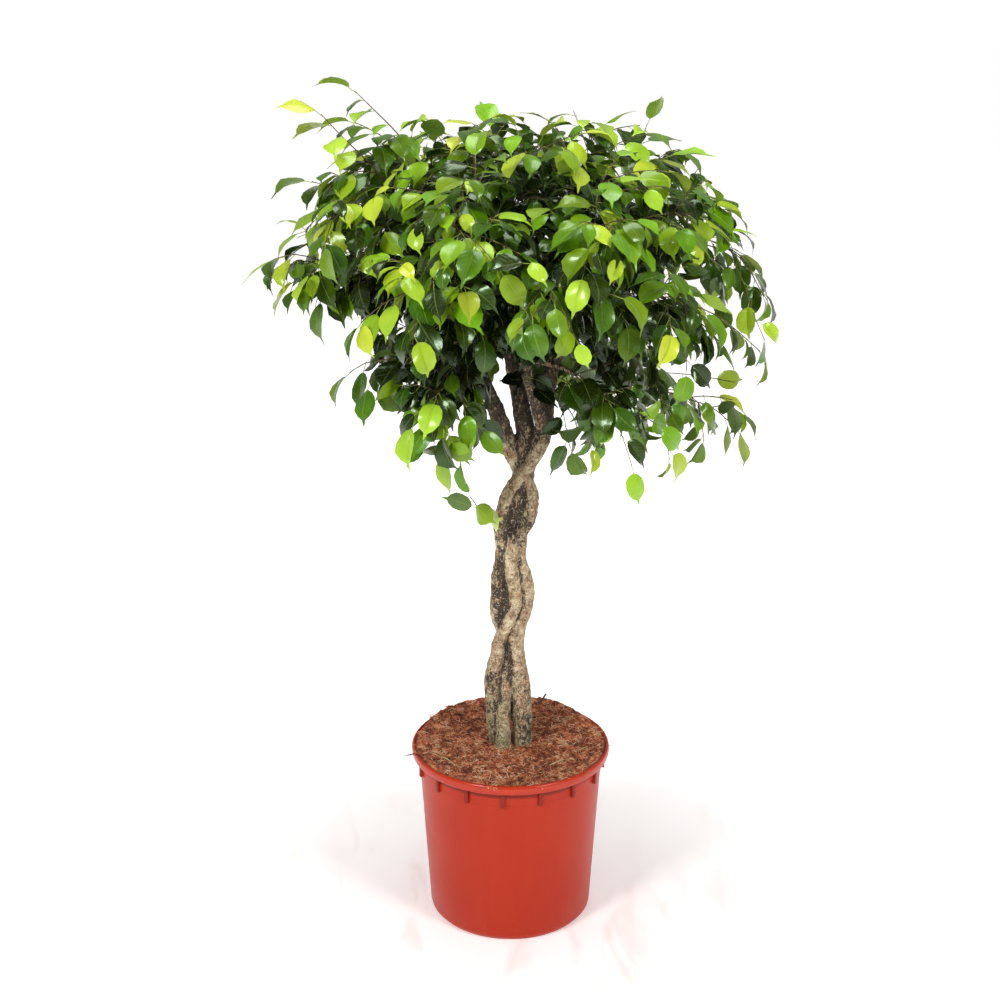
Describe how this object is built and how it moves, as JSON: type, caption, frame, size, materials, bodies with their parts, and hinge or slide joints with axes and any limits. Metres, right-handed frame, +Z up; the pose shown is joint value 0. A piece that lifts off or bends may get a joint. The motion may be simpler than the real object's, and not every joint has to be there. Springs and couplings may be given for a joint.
{
  "type": "potted weeping fig",
  "caption": "Indoor fig tree with a plaited trunk and an umbrella head of small pointed leaves, standing in a plain round tapered nursery pot filled with coir soil.",
  "frame": {"origin": "on the floor under the middle of the pot's base", "axes": "+Z up along the trunk, -Y is the front seen in the picture, +X to its right"},
  "size_m": [0.7783, 0.6792, 1.3356],
  "materials": {
    "pot_plastic": "satin",
    "soil": "matte",
    "bark": "matte",
    "leaves": "satin"
  },
  "bodies": {
    "root": {"pot": "pot_plastic", "soil": "soil", "braided_trunk": "bark", "leafy_spray_01": "leaves", "leafy_spray_02": "leaves", "leafy_spray_03": "leaves", "leafy_spray_04": "leaves", "leafy_spray_05": "leaves", "leafy_spray_06": "leaves", "leafy_spray_07": "leaves", "leafy_spray_08": "leaves", "leafy_spray_09": "leaves", "leafy_spray_10": "leaves", "leafy_spray_11": "leaves", "leafy_spray_12": "leaves", "leafy_spray_13": "leaves", "leafy_spray_14": "leaves", "leafy_spray_15": "leaves", "leafy_spray_16": "leaves", "leafy_spray_17": "leaves", "leafy_spray_18": "leaves", "leafy_spray_19": "leaves", "leafy_spray_20": "leaves", "leafy_spray_21": "leaves", "leafy_spray_22": "leaves", "leafy_spray_23": "leaves", "leafy_spray_24": "leaves", "leafy_spray_25": "leaves", "leafy_spray_26": "leaves", "leafy_spray_27": "leaves", "leafy_spray_28": "leaves", "leafy_spray_29": "leaves", "leafy_spray_30": "leaves", "leafy_spray_31": "leaves", "leafy_spray_32": "leaves", "leafy_spray_33": "leaves", "leafy_spray_34": "leaves", "leafy_spray_35": "leaves", "leafy_spray_36": "leaves", "leafy_spray_37": "leaves", "leafy_spray_38": "leaves", "leafy_spray_39": "leaves", "leafy_spray_40": "leaves"}
  },
  "joints": []
}
